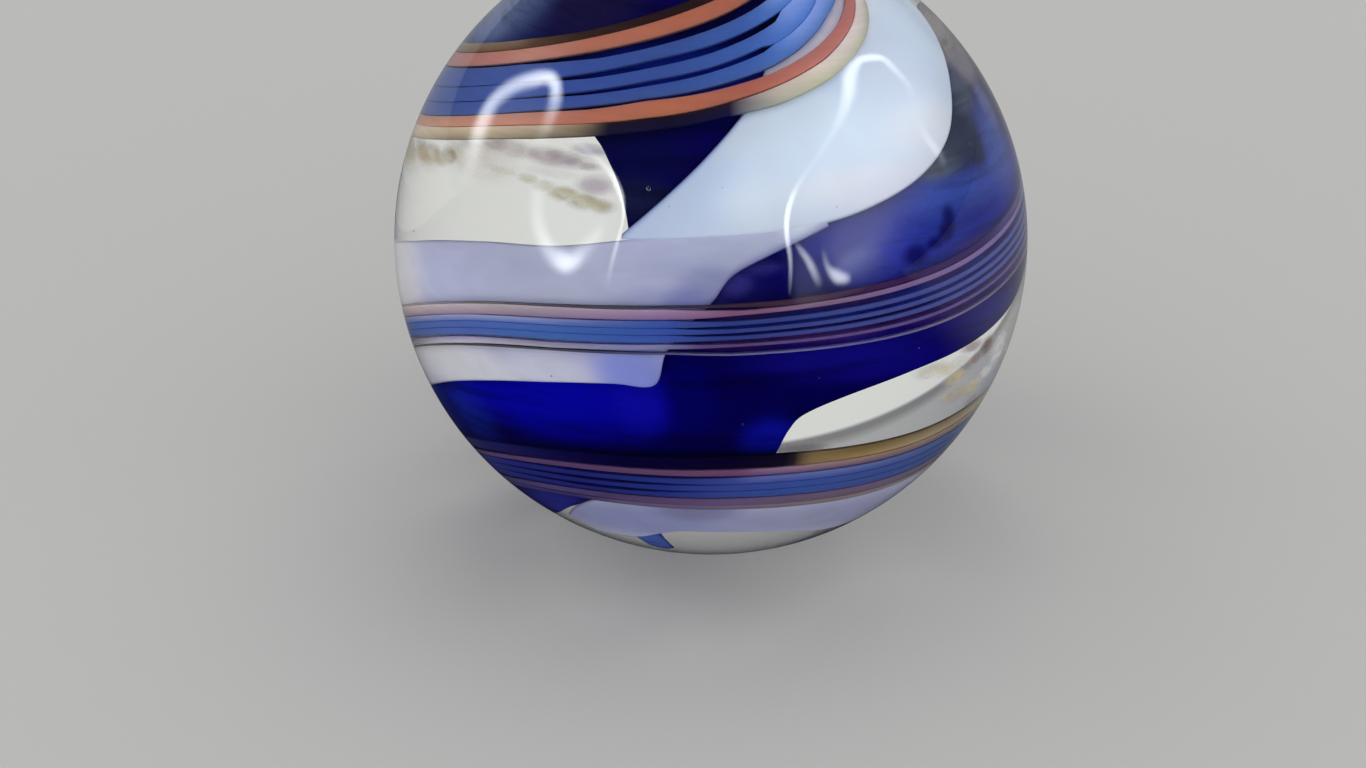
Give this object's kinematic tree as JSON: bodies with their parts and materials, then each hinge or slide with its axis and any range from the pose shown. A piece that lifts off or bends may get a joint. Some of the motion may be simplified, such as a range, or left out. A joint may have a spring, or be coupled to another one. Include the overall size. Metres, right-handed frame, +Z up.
{
  "type": "glass marble",
  "caption": "Clear glass ball with a striped blue and orange ribbon wound down it in a spiral over opal white, lavender and cobalt panels.",
  "frame": {"origin": "centre of the ball", "axes": "+Z up, -Y towards the side with the large white panel; the swirl's upper pole leans back from +Z towards +Y"},
  "size_m": [0.025, 0.025, 0.025],
  "materials": {
    "clear_glass": "fire polished",
    "blue_glass": "sealed in clear glass",
    "orange_glass": "sealed in clear glass",
    "amber_glass": "sealed in clear glass",
    "opal_glass": "sealed in clear glass",
    "lavender_glass": "sealed in clear glass",
    "cobalt_glass": "sealed in clear glass"
  },
  "bodies": {
    "root": {"clear_glass": "clear_glass", "blue_threads": "blue_glass", "orange_threads": "orange_glass", "amber_threads": "amber_glass", "opal_panels": "opal_glass", "lavender_panels": "lavender_glass", "cobalt_panels": "cobalt_glass"}
  },
  "joints": []
}
